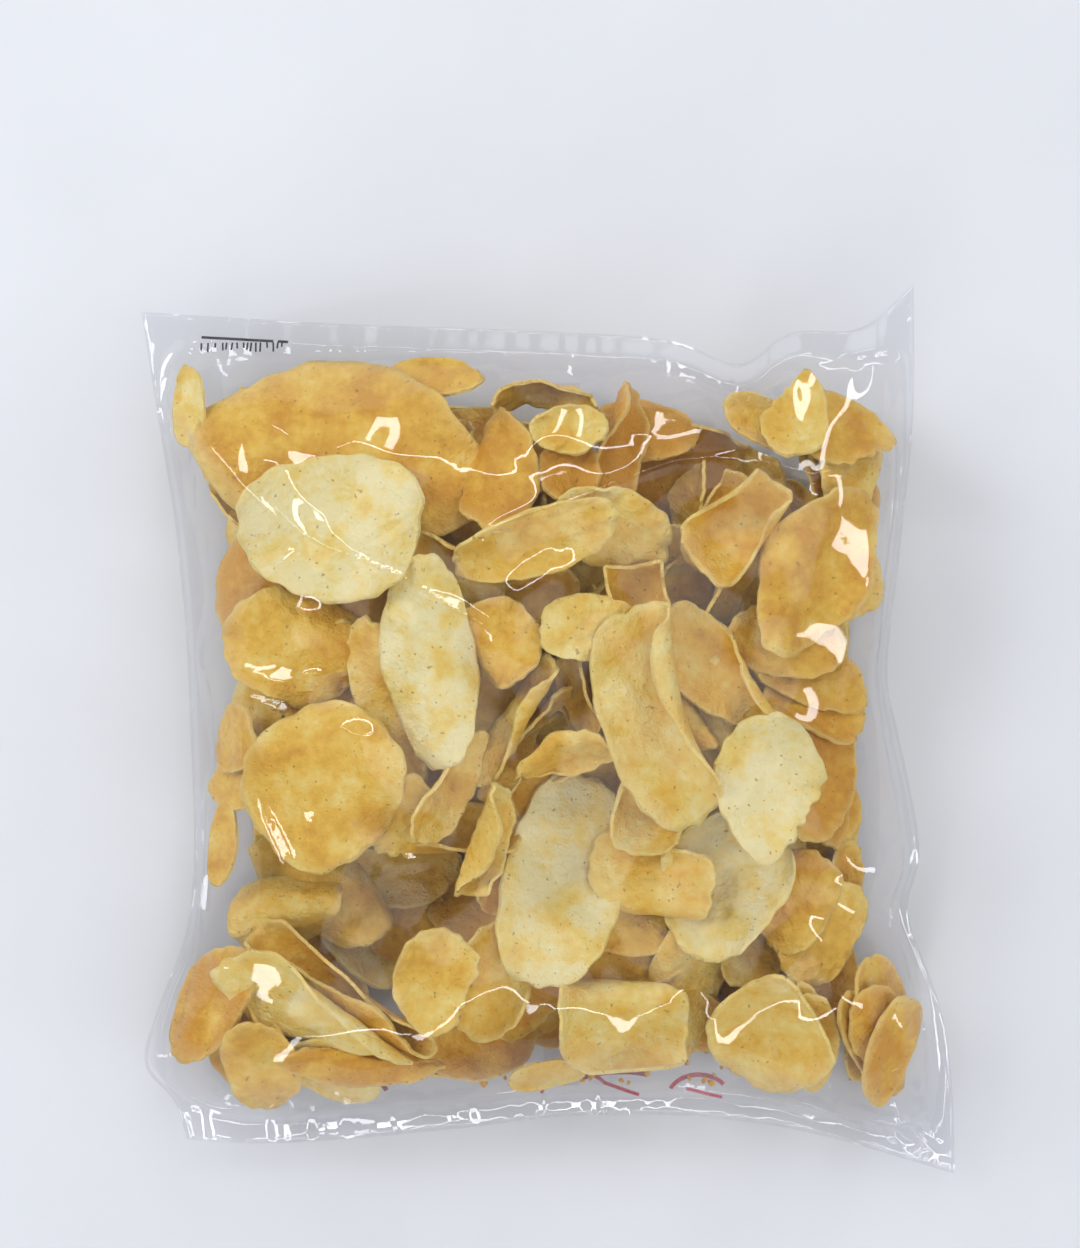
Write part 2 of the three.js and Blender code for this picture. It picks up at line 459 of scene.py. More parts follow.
def slice_points(disc, crisp, rng):
    """The points of one crisp, in mm about its own middle, and the numbers for its finish."""
    radius = np.hypot(*disc.T)
    angle = np.arctan2(disc[:, 1], disc[:, 0])
    disc = disc * outline_reach(angle, rng, crisp.cut)[:, None]
    half = np.array(crisp.size) / 2 * STRETCH
    x, y = (disc * half).T
    bumps, wrinkle = bumps_on(x, y, crisp.size, rng)
    swing = rng.uniform(0.04, 0.09) * min(crisp.size)
    bumps += swing * radius**2.5 * np.cos(rng.choice((2, 3, 3)) * angle + rng.uniform(0, 6))
    bumps += 0.45 * swing * radius**5 * np.cos(rng.choice((5, 7, 8)) * angle + rng.uniform(0, 6))
    skew = math.radians(rng.uniform(-18, 18))
    along, across = x * math.cos(skew) + y * math.sin(skew), y * math.cos(skew) - x * math.sin(skew)
    taper = 1 + crisp.taper * np.clip(along / half[0], -1.1, 1.1)
    across, up = rolled(across, half[1], crisp.bend[0] * CURL * taper, crisp.how)
    along, lift = rolled(along, half[0], crisp.bend[1] * CURL)
    x, y = along * math.cos(skew) - across * math.sin(skew), across * math.cos(skew) + along * math.sin(skew)
    return np.column_stack((x, y, up + lift + bumps)), radius, wrinkle


def turned(points, turn, tip):
    """Leans a crisp about its length, then its width, and turns it on the table, in degrees."""
    lean = Euler((math.radians(tip[0]), math.radians(tip[1]), math.radians(turn)), "XYZ")
    return points @ np.array(lean.to_matrix()).T


def dense(points, cells, times=3):
    """More points between those of a grid of cells, so that a height map has no holes."""
    grid = points.reshape(cells + 1, cells + 1, 3)
    at = np.linspace(0, cells, cells * times + 1)
    low = np.minimum(at.astype(int), cells - 1)
    share = (at - low)[:, None, None]
    rows = grid[low] * (1 - share) + grid[low + 1] * share
    share = (at - low)[None, :, None]
    return (rows[:, low] * (1 - share) + rows[:, low + 1] * share).reshape(-1, 3)


# %% [markdown]
# ## Where the crisps lie
#
# A physics simulation would pile the crisps up, but nobody could say which crisp ends up where. So
# each crisp that shows is listed with its place from above, and only its height is worked out. The
# bag is full, so the crisps press against the upper film. They are taken from the top down: each one
# is lifted until it touches the film or a crisp that already lies over it, and then the ceiling is
# lowered to its underside.

# %% The height maps that keep crisps apart
NUDGES = (-14, -7, 0, 7, 14)  # degrees that a crisp may tip to nest against its neighbours
SLACK = 0.12  # mm of height that one degree of tipping has to win


def cells_of(points):
    """The cell of the height maps that each point lies in."""
    cells = np.floor((points[:, :2] - grid_corner) / CELL).astype(int)
    return tuple(np.clip(cells, 0, np.array(room.shape) - 1).T)


def middle_of(cell):
    """The place of a cell's middle from above, in mm."""
    return grid_corner + (cell + 0.5) * CELL


def press_up(points, give):
    """The height that takes a crisp up against the ceiling. It may bite a little into other crisps."""
    at, z = cells_of(points), points[:, 2]
    return min(np.quantile(ceiling[at] - z, give), (film_above[at] - z).min())


def take_room_above(points):
    """Lowers the ceiling to the underside of a crisp."""
    np.minimum.at(ceiling, cells_of(points), points[:, 2] - THICKNESS - CLEAR)


def drop_down(points, give):
    """The height that lowers a crisp onto what lies under it."""
    at, z = cells_of(points), points[:, 2]
    return max(np.quantile(floor_map[at] - z, 1 - give), (film_below[at] - z).max())


def take_room_below(points):
    """Raises the floor to the top of a crisp."""
    np.maximum.at(floor_map, cells_of(points), points[:, 2] + THICKNESS + CLEAR)


class Way(NamedTuple):
    film: np.ndarray  # the film that the crisp ends up against
    height_for: object  # works out its height
    better: int  # 1 if higher is better, -1 if lower is
    give: float  # the share of a crisp that may bite into its neighbours, where real ones would chip


UP_BY_HAND = Way(film_above, press_up, 1, 0.03)
UP_BETWEEN = Way(film_above, press_up, 1, 0.11)
DOWN = Way(film_below, drop_down, -1, 0.12)


def slope_of(film_map, place, reach=16):
    """How steeply the film runs across and along over a place: the plane that fits it best."""
    middle = np.array(cells_of(np.array([place]))).ravel()
    low, high = np.maximum(middle - int(reach / CELL), 0), middle + int(reach / CELL) + 1
    patch = film_map[low[0]:high[0], low[1]:high[1]]
    x, y = np.indices(patch.shape) * CELL
    inside = (patch > NO_ROOM[0] / 2) & (patch < NO_ROOM[1] / 2 + 20)
    if inside.sum() < 9:
        return np.zeros(2)
    plane = np.column_stack((x[inside], y[inside], np.ones(inside.sum())))
    return np.clip(np.linalg.lstsq(plane, patch[inside], rcond=None)[0][:2], -1.1, 1.1)


def settle(points, cells, turn, tip, place, way, hug=1.0):
    """Tries small changes of lean and keeps the one in which the crisp nests best.

    Hug is how much of the film's own slope the crisp takes on."""
    best = None
    slope = slope_of(way.film, place) * hug
    for lean in NUDGES:
        for pitch in NUDGES:
            tried = turned(points, turn, (tip[0] + lean, tip[1] + pitch))
            tried[:, :2] += place - tried[:, :2].mean(0)
            tried[:, 2] += (tried[:, :2] - place) @ slope
            middle = tried[:, 2].mean() + way.height_for(tried, way.give)
            reached = way.better * middle - SLACK * (abs(lean) + abs(pitch))
            if best is None or reached > best[0]:
                best = (reached, tried)
    samples = dense(best[1], cells)
    height = way.height_for(samples, way.give)
    return best[1] + (0, 0, height), samples + (0, 0, height)


def fits(samples, give):
    """True if the crisp is inside the film, above and below, and bites into few others."""
    at, z = cells_of(samples), samples[:, 2]
    if (z > film_above[at] + 0.01).any() or (z < film_below[at] - 0.01).any():
        return False
    return ((z > ceiling[at]) | (z < floor_map[at])).mean() <= give * 1.5


class Crisp(NamedTuple):
    name: str
    place: tuple  # its middle from above, in mm
    size: tuple  # length and width before bending, in mm
    turn: float = 0  # degrees from +X to its length
    tip: tuple = (0, 0)  # degrees that it leans about its length and about its width
    bend: tuple = (0, 0)  # degrees of slope at its long edges and at its ends
    tone: float = 0.4  # 0 is pale and 1 is dark amber
    cut: tuple = None  # a broken edge: direction in degrees and distance from the middle
    how: str = "even"  # the kind of bend across its width
    taper: float = 0.2  # how much more it bends at its far end than in its middle


# Each row: name, place, size, turn, tip, bend, tone.
CRISPS_THAT_SHOW = [
    Crisp("round pale flat", (-70, 69), (56, 45), 12, (2, -3), (8, 8), 0.12, taper=0.0),
    Crisp("long fold", (34, 8), (70, 36), -78, (-20, 8), (62, 5), 0.30, how="one side", taper=-0.9),
    Crisp("pale oval", (13, 36), (30, 21), 4, (-8, 0), (-14, -6), 0.28),
    Crisp("tongue", (-39, 24), (60, 30), -84, (5, -22), (-18, 6), 0.15, taper=0.9),
    Crisp("bitten pale", (72, -16), (44, 36), -72, (6, -4), (14, 10), 0.12, cut=(35, 0.55)),
    Crisp("curled at the lower right", (74, -99), (41, 38), -65, (4, -10), (26, 22), 0.30, how="one side"),
    Crisp("taco flap", (-79, -90), (62, 27), -24, (24, 6), (30, 0), 0.22, how="one side", taper=0.7),
    Crisp("taco shell", (-70, -84), (65, 39), -26, (-30, -2), (46, 6), 0.42, how="creased"),
    Crisp("rolled with a crescent rim", (32, -25), (32, 29), -10, (-6, 0), (60, 40), 0.30, how="one side"),
    Crisp("blistered slit", (34, -47), (40, 28), -14, (-10, -4), (-26, 10), 0.34, how="wave"),
    Crisp("big pale oval", (4, -48), (65, 38), 77, (-14, 4), (12, 6), 0.14, taper=0.3),
    Crisp("golden disc", (-74, -15), (49, 47), 30, (-4, -4), (-8, -8), 0.38, taper=0.0),
    Crisp("small disc", (-37, -78), (32, 25), 82, (6, 8), (10, 8), 0.36, cut=(250, 0.75)),
    Crisp("squarish", (-18, -81), (35, 27), 72, (-16, -6), (24, 4), 0.38, cut=(110, 0.8)),
    Crisp("round pale with curl", (23, -96), (46, 43), 10, (4, 4), (22, 20), 0.26, how="wave"),
    Crisp("curled disc in the middle", (28, 48), (29, 29), 20, (-6, 6), (50, 44), 0.42),
    Crisp("long wedge left", (-5, 64), (49, 21), 14, (20, 0), (14, 0), 0.36, taper=-0.8),
    Crisp("long wedge right", (20, 68), (38, 26), -18, (12, 8), (-10, 4), 0.30, taper=0.5),
    Crisp("upright amber square", (-17, 87), (36, 25), 84, (-26, -10), (-18, 0), 0.55, cut=(90, 0.85)),
    Crisp("pale disc top", (6, 101), (22, 16), 4, (22, 0), (10, 6), 0.30),
    Crisp("edge-on arc", (-2, 116), (36, 19), -3, (66, 0), (16, 24), 0.42),
    Crisp("pale right of middle", (58, -49), (44, 40), 60, (-6, 8), (10, 6), 0.16),
    Crisp("nested outer", (61, 69), (38, 34), 52, (-18, -10), (48, 18), 0.42, taper=0.5),
    Crisp("nested inner", (56, 71), (31, 23), 60, (-40, -6), (46, 10), 0.46),
    Crisp("nested thin", (47, 74), (31, 19), 80, (-62, 0), (20, 4), 0.46),
    Crisp("folded nest upper", (53, 23), (45, 27), -42, (-34, 4), (44, 4), 0.40, how="one side", taper=0.6),
    Crisp("folded nest lower", (43, 11), (34, 19), -52, (-28, 2), (-26, 0), 0.42, how="creased", taper=0.5),
    Crisp("large olive right", (87, 55), (51, 34), 62, (18, -6), (14, 6), 0.46, how="wave", taper=-0.4),
    Crisp("domes front", (-91, -60), (36, 30), 12, (-10, -4), (-26, -10), 0.34, how="creased", taper=0.5),
    Crisp("domes back", (-81, -54), (49, 31), -34, (-14, -4), (-30, -6), 0.40),
    Crisp("elongated", (-53, -48), (43, 21), 4, (-34, 2), (34, 8), 0.36, how="one side", taper=0.5),
    Crisp("thin upright pale", (-33, -16), (38, 19), 64, (52, 0), (20, 6), 0.34, taper=0.8),
    Crisp("triangle pale", (-49, -27), (32, 21), 74, (14, -8), (-14, 0), 0.32, cut=(180, 0.6), taper=-0.9),
    Crisp("pale upright fold", (-23, -37), (36, 23), 76, (44, 4), (34, 4), 0.30, how="creased", taper=-0.5),
    Crisp("long pale wedge", (-53, 13), (52, 20), -72, (26, -4), (18, 4), 0.32, how="one side", taper=0.8),
    Crisp("twisted wedge", (-12, 6), (45, 21), 56, (-30, 6), (30, 6), 0.32, how="wave", taper=0.8),
    Crisp("S strip", (5, -6), (32, 17), 16, (58, 0), (24, 10), 0.38, how="wave", taper=-0.5),
    Crisp("thin curved strip", (-9, -2), (43, 17), 54, (64, 0), (30, 10), 0.40, taper=-0.6),
    Crisp("blistered toasted", (-16, 31), (27, 26), -30, (10, -10), (-16, 10), 0.48, taper=0.8),
    Crisp("arc by tongue", (-30, 50), (36, 27), -52, (-30, 0), (36, 10), 0.40, how="one side", taper=-0.7),
    Crisp("mottled large", (-73, 98), (87, 57), -12, (-6, 2), (-12, -6), 0.46),
    Crisp("hazy layer", (-84, 30), (45, 34), -10, (-6, 0), (-10, -4), 0.42),
    Crisp("hazy layer under", (-71, 19), (39, 31), 40, (14, -6), (16, 6), 0.42),
    Crisp("amber pair left", (-37, 85), (36, 15), 74, (58, 0), (14, 6), 0.62),
    Crisp("amber pair right", (-30, 85), (36, 14), 82, (66, 0), (14, 4), 0.62),
    Crisp("amber drop", (6, 88), (21, 19), 80, (10, 10), (14, 8), 0.74),
    Crisp("amber arc", (23, 99), (40, 23), 86, (48, 0), (34, 8), 0.60),
    Crisp("browned rim top", (34, 109), (32, 23), -10, (-34, 0), (-14, -6), 0.62),
    Crisp("amber wide", (45, 100), (45, 36), 8, (-10, -4), (-16, -6), 0.60, how="wave"),
    Crisp("yellow top", (-23, 111), (38, 26), -22, (-22, 0), (-16, -4), 0.52, how="wave", taper=0.6),
    Crisp("olive upper right", (69, 107), (36, 28), -30, (-16, 0), (-14, -6), 0.50),
    Crisp("pale jagged", (83, 109), (27, 20), 70, (-12, 0), (10, 0), 0.34, cut=(60, 0.6)),
    Crisp("pointed right", (96, 101), (31, 23), -20, (-10, 0), (-10, 0), 0.46, cut=(320, 0.7)),
    Crisp("hazy disc", (70, 92), (30, 29), 10, (6, 0), (10, 4), 0.42),
    Crisp("right small hazy", (79, 76), (22, 19), 30, (20, 0), (12, 6), 0.44),
    Crisp("long thin upright", (67, 54), (42, 16), 66, (58, 0), (24, 6), 0.42),
    Crisp("right upper stack", (78, 32), (36, 23), -12, (-24, 0), (-14, 0), 0.44),
    Crisp("right stack middle", (85, 22), (41, 20), -28, (-30, 0), (-10, 0), 0.48),
    Crisp("right stack lower", (93, 11), (34, 20), -34, (-26, 0), (14, 0), 0.52),
    Crisp("brown disc behind the bite", (87, -15), (36, 28), 80, (14, 0), (20, 10), 0.56),
    Crisp("right edge amber", (100, -16), (39, 19), 80, (50, 0), (14, 6), 0.54),
    Crisp("hazy olive left", (81, -54), (33, 25), 62, (10, 0), (-16, -6), 0.44),
    Crisp("hazy olive middle", (91, -66), (34, 24), 60, (16, 0), (-14, -6), 0.42),
    Crisp("hazy olive right", (104, -67), (49, 19), 72, (44, 0), (14, 6), 0.48),
    Crisp("pale behind", (75, -46), (36, 18), 72, (26, 0), (-10, 0), 0.26),
    Crisp("pointed lower right", (71, -72), (27, 19), 40, (14, 0), (10, 0), 0.34),
    Crisp("amber left edge", (-115, -81), (49, 24), 76, (-40, 0), (-16, -4), 0.50),
    Crisp("left amber disc", (-103, 56), (42, 36), 80, (-22, 0), (-14, -4), 0.60),
    Crisp("left folded strip", (-112, 112), (30, 16), -76, (-46, 0), (30, 4), 0.36),
    Crisp("left folded small", (-113, 97), (19, 13), 20, (-30, 0), (20, 0), 0.30),
    Crisp("left lower small", (-112, 85), (21, 16), -50, (-26, 0), (20, 4), 0.40),
    Crisp("left pale point", (-106, 45), (27, 15), -12, (-20, 0), (10, 0), 0.34, cut=(300, 0.6), taper=-0.8),
    Crisp("left small olive", (-108, -1), (21, 15), 80, (-30, 0), (-10, 0), 0.44),
    Crisp("left small disc", (-104, -15), (19, 16), 60, (-20, 0), (14, 0), 0.44),
    Crisp("crescent behind", (-84, -33), (39, 20), -28, (-34, 0), (20, 6), 0.44),
    Crisp("dim middle left", (-48, -66), (27, 23), 10, (10, 0), (-10, 0), 0.46),
    Crisp("amber lower middle", (-7, -88), (29, 20), 60, (24, 0), (26, 4), 0.54),
    Crisp("bottom amber long", (-62, -110), (45, 16), -4, (-30, 0), (-10, 0), 0.54),
    Crisp("bottom amber disc", (-23, -105), (32, 23), 6, (-20, 0), (14, 4), 0.56),
    Crisp("bottom amber small", (-43, -107), (29, 18), -10, (-16, 0), (12, 0), 0.58),
    Crisp("pale lower right", (45, -86), (45, 25), 80, (14, 0), (-14, 0), 0.30),
    Crisp("fringe under the slit", (26, -63), (34, 19), -8, (-18, 0), (-12, 0), 0.44),
    Crisp("amber behind the oval", (16, -33), (42, 27), 60, (-14, 0), (16, 0), 0.56),
    Crisp("curved strip middle", (10, 13), (31, 16), -76, (50, 0), (26, 6), 0.42),
    Crisp("dim middle", (-7, 48), (29, 23), 10, (14, 0), (14, 4), 0.46),
    Crisp("small amber", (-15, -49), (19, 17), 30, (10, 0), (14, 4), 0.56),
    Crisp("beside the curled disc", (45, 48), (23, 17), 80, (30, 0), (14, 0), 0.44),
]

# %% [markdown]
# ## Building the crisps
#
# All crisps of a kind go into one mesh, so that the pack stays a handful of pieces. Each point
# carries three numbers for the finish: how near the rim it is, how brown the crisp is as a whole,
# and how much its own spot has browned.

# %% Make crisps and gather them by kind
KINDS = {"pale_crisps": 0.33, "golden_crisps": 0.45, "amber_crisps": 1.01}  # darkest tone of each
FINISH_NUMBERS = ("rim", "tone", "browning")
heaps = {kind: bmesh.new() for kind in KINDS}


def add_crisp(points, cells, radius, browning, tone):
    """Gives a sheet of points its thickness and adds it to the heap of crisps of its tone."""
    bm = bmesh.new()
    bmesh.ops.create_grid(bm, x_segments=cells, y_segments=cells, size=1)
    numbers = [bm.verts.layers.float.new(name) for name in FINISH_NUMBERS]
    for vertex, place, r, b in zip(bm.verts, points, radius, browning):
        vertex.co = Vector(place) * MM
        for number, value in zip(numbers, (r, tone, b)):
            vertex[number] = value
    bm.normal_update()
    for vertex in bm.verts:
        vertex.co -= vertex.normal * THICKNESS / 2 * MM
    bmesh.ops.solidify(bm, geom=bm.faces, thickness=-THICKNESS * MM)
    bmesh.ops.recalc_face_normals(bm, faces=bm.faces)
    for face in bm.faces:
        face.smooth = any(vertex[numbers[0]] < 0.999 for vertex in face.verts)  # all but the cut edge
    mesh = bpy.data.meshes.new("one_crisp")
    bm.to_mesh(mesh)
    bm.free()
    kind = next(kind for kind, darkest in KINDS.items() if tone < darkest)
    heaps[kind].from_mesh(mesh)
    bpy.data.meshes.remove(mesh)


def flat_disc(cells):
    """The points of a disc of radius 1, as a grid of cells."""
    bm = bmesh.new()
    bmesh.ops.create_grid(bm, x_segments=cells, y_segments=cells, size=1)
    disc = disc_from_grid(bm)
    bm.free()
    return disc


# A crisp that doesn't fit lies flatter against the film, or moves this share towards the middle.
WAYS_IN = [(inwards, hug) for inwards in (0, 0.03, 0.06, 0.1, 0.14) for hug in (1.0, 0.6, 0.2)]
disc = flat_disc(FINE_CELLS)
left_out = []
for number, crisp in enumerate(CRISPS_THAT_SHOW):
    rng = random.Random(100 + number)
    points, radius, browning = slice_points(disc, crisp, rng)
    for inwards, hug in WAYS_IN:
        place = np.array(crisp.place) * (1 - inwards)
        settled, samples = settle(points, FINE_CELLS, crisp.turn, crisp.tip, place, UP_BY_HAND, hug)
        if fits(samples, UP_BY_HAND.give):
            take_room_above(samples)
            add_crisp(settled, FINE_CELLS, radius, browning, crisp.tone)
            break
    else:
        left_out.append(crisp.name)
print(len(CRISPS_THAT_SHOW), "crisps placed by hand; left out, because they don't fit:", left_out)

# %% [markdown]
# ## The crisps between them
#
# Between the crisps that are listed one by one there are gaps, and in a real bag more crisps show
# through each of them. These are drawn at random from a fixed seed. Each one goes to a spot where
# the film is still bare underneath, with its own lean and a strong curl, and is pressed up like the
# others.

# %% Press more crisps up into the gaps
MIDDLE_CELLS = 16  # across a crisp of this kind
BETWEEN = 620  # attempts
SLIPS_IN = [(inwards, hug) for inwards in (0, 0.04, 0.08, 0.13) for hug in (1.0, 0.6)]
RIM_ZONE = (94, 104)  # mm from the middle, across and along, beyond which crisps lie along the rim
FLAT_BY_THE_RIM = (0.9, 0.7, 0.7)  # what their length, width and relief shrink to, to fit in there
BARE = 1.5  # mm of free height under the film that says that no crisp lies there yet
LEAST_ROOM = 3  # mm of height that the bag must still have there
rng = random.Random(23)
disc = flat_disc(MIDDLE_CELLS)
between = 0
for attempt in range(BETWEEN):
    bare = np.argwhere((ceiling > film_above - BARE) & (ceiling - floor_map > LEAST_ROOM))
    if not len(bare):
        break
    spot = middle_of(bare[rng.randrange(len(bare))])
    by_side = abs(spot[0]) > RIM_ZONE[0]
    by_rim = by_side or abs(spot[1]) > RIM_ZONE[1]
    flatter = 0.3 if by_rim else 1
    # What is left over takes smaller and smaller crisps.
    smaller = 1 - 0.4 * attempt / BETWEEN
    size = (smaller * rng.uniform(28, 48), smaller * rng.uniform(20, 34))
    tone = rng.uniform(0.24, 0.58)
    bend = (flatter * rng.choice((-1, 1, 1)) * rng.uniform(10, 38), flatter * rng.uniform(-6, 12))
    crisp = Crisp("", (0, 0), size, 0, (0, 0), bend, tone,
                  how=rng.choice(list(BENDS)), taper=rng.uniform(-0.9, 0.9))
    points, radius, browning = slice_points(disc, crisp, rng)
    turn = rng.uniform(0, 180)
    tip = (flatter * rng.gauss(0, 22), flatter * rng.gauss(0, 8))
    if by_rim:
        turn = (90 if by_side else 0) + rng.uniform(-30, 30)
        points *= FLAT_BY_THE_RIM
    for inwards, hug in SLIPS_IN:
        settled, samples = settle(points, MIDDLE_CELLS, turn, tip, spot * (1 - inwards), UP_BETWEEN, hug)
        if fits(samples, UP_BETWEEN.give):
            take_room_above(samples)
            add_crisp(settled, MIDDLE_CELLS, radius, browning, crisp.tone)
            between += 1
            break
print(between, "crisps between them; film still bare over",
      round(((ceiling > film_above - BARE) & (room > 4)).sum() * CELL * CELL / 100), "square cm")

# %% [markdown]
# ## Filling the rest
#
# Under the crisps that show, the bag holds as many again. Nobody sees which is which there, so
# they fall at random from a fixed seed: each one tries a few spots where there is most room, and
# settles on what lies below. It stays only if it is still under the ceiling.

# %% Drop crisps into the room that is left
TRIES = 300
ROOM_TO_DROP = 5  # mm of free height that a spot must have
rng = random.Random(7)
disc = flat_disc(ROUGH_CELLS)
filled = 0
for attempt in range(TRIES):
    free = ceiling - floor_map
    spots = np.argwhere(free > ROOM_TO_DROP)
    if not len(spots):
        break
    spot = max((spots[rng.randrange(len(spots))] for _ in range(4)), key=lambda s: free[tuple(s)])
    size = (rng.uniform(34, 56), rng.uniform(28, 44))
    tone = rng.uniform(0.3, 0.65)
    bend = (rng.uniform(-20, 24), rng.uniform(-6, 10))
    crisp = Crisp("", (0, 0), size, 0, (0, 0), bend, tone,
                  how=rng.choice(list(BENDS)), taper=rng.uniform(-0.7, 0.7))
    points, radius, browning = slice_points(disc, crisp, rng)
    turn = rng.uniform(0, 360)
    tip = (rng.gauss(0, 16), rng.gauss(0, 8))
    settled, samples = settle(points, ROUGH_CELLS, turn, tip, middle_of(spot), DOWN)
    if not fits(samples, DOWN.give):
        continue
    take_room_below(samples)
    add_crisp(settled, ROUGH_CELLS, radius, browning, crisp.tone)
    filled += 1
print(filled, "more crisps fell into the bag")

# %% [markdown]
# ## The finish of a crisp
#
# Fried potato is starch with oil in its surface: matt to satin, IOR about 1.47. Light that bounces
# between crisps takes on their colour, which is why the gaps glow amber. The pale middle
# browns in soft patches and on top of blisters, and bits of peel and starch burn into small dark
# specks. The rim is painted a light yellow: partly its own paler colour, partly a painted highlight
# of the light that shines through and catches its thin edge. The colour is worked out from the
# three numbers of each point and from noise whose grain is given in millimetres.

# %% Fried potato
MATHS = "ShaderNodeMath"
ATTRIBUTE = "ShaderNodeAttribute"
NOISE = "ShaderNodeTexNoise"
RAMP = "ShaderNodeValToRGB"


def fried_potato(name):
    """Fried potato starch: pale in its middle, golden in patches, with dark specks and a light rim that is
    partly a painted highlight.
    """
    material, output = new_material(name)
    tree = material.node_tree
    place = add(tree, "ShaderNodeTexCoord").outputs["Object"]
    tone, browning, rim = (
        add(tree, ATTRIBUTE, {"attribute_name": n}).outputs["Fac"] for n in ("tone", "browning", "rim"))
    patches = add(tree, NOISE, inputs={"Vector": place, "Scale": 1 / (11 * MM), "Detail": 2.0})
    mottle = add(tree, NOISE, inputs={"Vector": place, "Scale": 1 / (3 * MM), "Detail": 3.0})
    tone = add(tree, MATHS, {"operation": "MULTIPLY_ADD"}, {0: patches.outputs[0], 1: 0.55, 2: tone})
    tone = add(tree, MATHS, {"operation": "MULTIPLY_ADD"}, {0: mottle.outputs[0], 1: 0.3, 2: tone.outputs[0]})
    tone = add(tree, MATHS, {"operation": "MULTIPLY_ADD"}, {0: browning, 1: 0.12, 2: tone.outputs[0]})
    colour = add(tree, RAMP, inputs={"Fac": tone.outputs[0]}, stops=[
        (0.50, "#F7E8AA"), (0.64, "#F6D979"), (0.82, "#EFBE44"), (1.05, "#DB9C27")])
    # The rim is painted a lighter yellow: partly its own paler colour, partly a painted highlight of light
    # through its thin edge.
    edge = add(tree, MATHS, {"operation": "POWER"}, {0: rim, 1: 14.0})
    edge = add(tree, MATHS, {"operation": "MULTIPLY"}, {0: edge.outputs[0], 1: 0.55})
    colour = add(tree, "ShaderNodeMix", {"data_type": "RGBA"}, {
        0: edge.outputs[0], 6: colour.outputs[0], 7: linear("#F8E08E")})
    specks = add(tree, NOISE, inputs={"Vector": place, "Scale": 1 / (1.6 * MM), "Detail": 1.0})
    burnt = add(tree, RAMP, inputs={"Fac": specks.outputs[0]}, stops=[(0.70, 0.0), (0.76, 0.6)])
    colour = add(tree, "ShaderNodeMix", {"data_type": "RGBA"}, {
        0: burnt.outputs[0], 6: colour.outputs[2], 7: linear("#94682C")})
    grain = add(tree, NOISE, inputs={"Vector": place, "Scale": 1 / (1.1 * MM), "Detail": 3.0})
    pits = add(tree, "ShaderNodeTexVoronoi", inputs={"Vector": place, "Scale": 1 / (3.4 * MM)})
    relief = add(tree, MATHS, {"operation": "MULTIPLY_ADD"}, {
        0: pits.outputs["Distance"], 1: 0.8, 2: grain.outputs[0]})
    bump = add(tree, "ShaderNodeBump", inputs={
        "Height": relief.outputs[0], "Strength": 1.0, "Distance": 0.7 * MM})
    skin = add(tree, "ShaderNodeBsdfPrincipled", inputs={
        "Base Color": colour.outputs[2], "Roughness": 0.42, "IOR": 1.47, "Normal": bump.outputs[0]})
    tree.links.new(skin.outputs[0], output.inputs["Surface"])
    return material


crisp_pieces = []
for kind, heap in heaps.items():
    mesh = mesh_from(heap, kind)
    crisp_pieces.append(new_piece(kind, mesh, fried_potato("fried_potato_" + kind.split("_")[0])))
    print(kind, sum(len(p.vertices) - 2 for p in mesh.polygons), "triangles")

# %% [markdown]
# ## The finish of the film
#
# Polypropylene film is clear, with an IOR of 1.49. It lets almost all light through and mirrors the
# rest from both of its faces, more at a glance, and where it lies double it greys what is behind
# it. A glass shader would bend the light as if the bag were a block, so the film is made from two
# parts instead: a Transparent shader, tinted a little, and a Glossy one, mixed by the mirrored
# share.

# %% Clear polypropylene
MIRRORED = 0.062  # head on, from the faces of a film of IOR 1.49


def clear_polypropylene():
    """Clear film: seen through, and mirrored more at a glance."""
    material, output = new_material("clear_polypropylene")
    tree = material.node_tree
    place = add(tree, "ShaderNodeTexCoord").outputs["Object"]
    ripple = add(tree, NOISE, inputs={"Vector": place, "Scale": 1 / (7 * MM), "Detail": 2.0})
    bump = add(tree, "ShaderNodeBump", inputs={
        "Height": ripple.outputs[0], "Strength": 0.12, "Distance": 0.3 * MM})
    glance = add(tree, "ShaderNodeLayerWeight", inputs={"Blend": 0.5, "Normal": bump.outputs[0]})
    share = add(tree, MATHS, {"operation": "POWER"}, {0: glance.outputs["Facing"], 1: 5.0})
    share = add(tree, MATHS, {"operation": "MULTIPLY_ADD"}, {
        0: share.outputs[0], 1: 1 - MIRRORED, 2: MIRRORED})
    clear = add(tree, "ShaderNodeBsdfTransparent", inputs={"Color": linear("#FDFDFE")})
    shine = add(tree, "ShaderNodeBsdfGlossy", inputs={"Roughness": 0.035, "Normal": bump.outputs[0]})
    film = add(tree, "ShaderNodeMixShader", inputs={
        0: share.outputs[0], 1: clear.outputs[0], 2: shine.outputs[0]})
    tree.links.new(film.outputs[0], output.inputs["Surface"])
    return material


film = new_piece("film", film_mesh, clear_polypropylene())

# %% [markdown]
# ## Strips for the print and the seam
#
# A packer prints a dark bar and a row of date marks beside the top seal, and the pack's name in
# pink on the side that lies on the table, so only parts of it show through the film. Here both
# stay plain bars and strokes. They are strips of a thin skin that follows the film: each is a
# flat grid, bent along its line, dropped on the film with a ray and given a thickness.

# %% Strips that follow the film
film_tree = tree_of(film_mesh)
INK = 0.12  # mm, drawn thicker than real ink so that it stays above the film


def film_height(x, y, upper):
    """The height of the upper or the lower sheet over a place, all in mm."""
    hit = film_tree.ray_cast(Vector((x * MM, y * MM, 1 if upper else -1)), -UP if upper else UP)[0]
    return hit.z / MM if hit else 0.0


